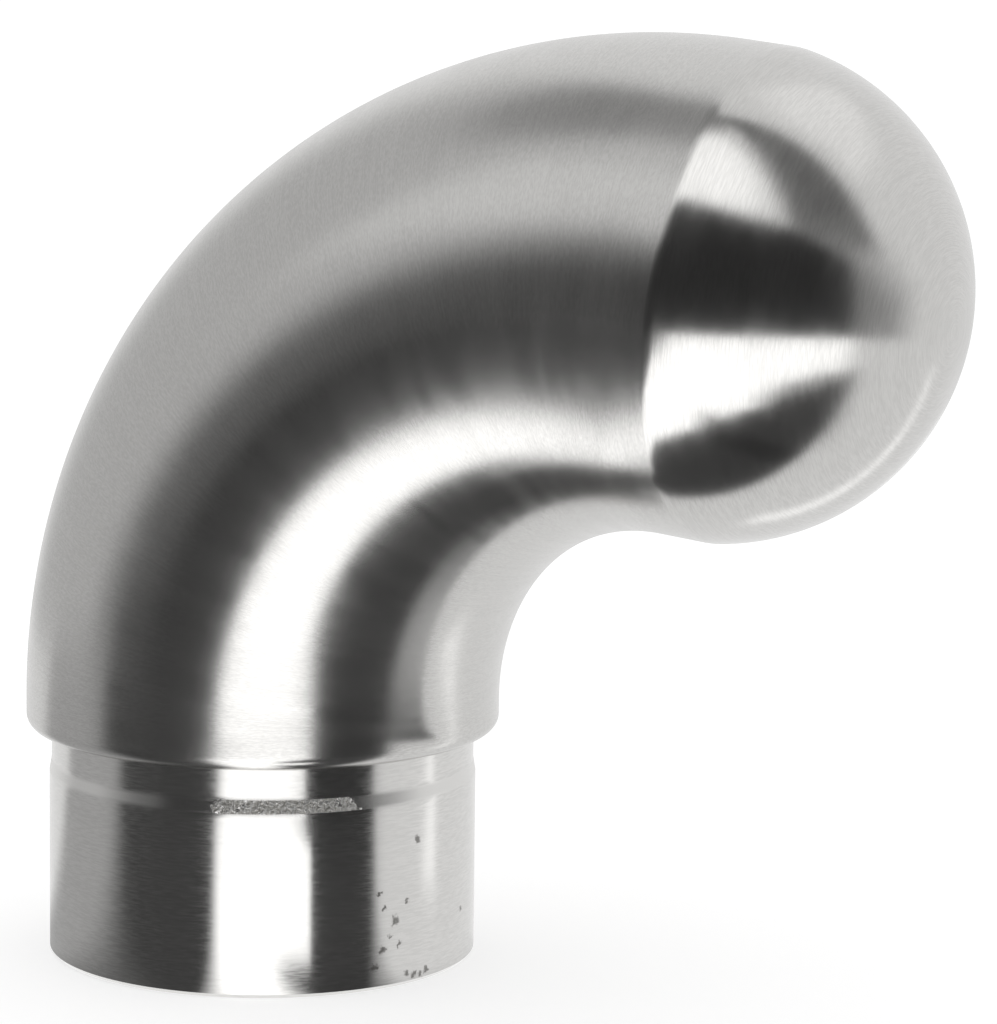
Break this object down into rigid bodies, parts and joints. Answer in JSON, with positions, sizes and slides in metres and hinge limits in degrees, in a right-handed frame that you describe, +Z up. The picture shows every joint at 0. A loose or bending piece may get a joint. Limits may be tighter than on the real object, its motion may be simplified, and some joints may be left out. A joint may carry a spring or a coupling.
{
  "type": "handrail end elbow",
  "caption": "Handrail end elbow in satin stainless steel: a round body that bends over to a domed end, with a stepped spigot that plugs into a round tube.",
  "frame": {"origin": "centre of the shoulder that the handrail tube's cut end meets", "axes": "+Z up the spigot's axis, away from the tube; the bend turns towards +X; the XZ plane is the plane of symmetry"},
  "size_m": [0.0872, 0.0424, 0.0841],
  "materials": {
    "satin_stainless": "satin brushed casting with a turned spigot"
  },
  "bodies": {
    "root": {"end_elbow": "satin_stainless"}
  },
  "joints": []
}
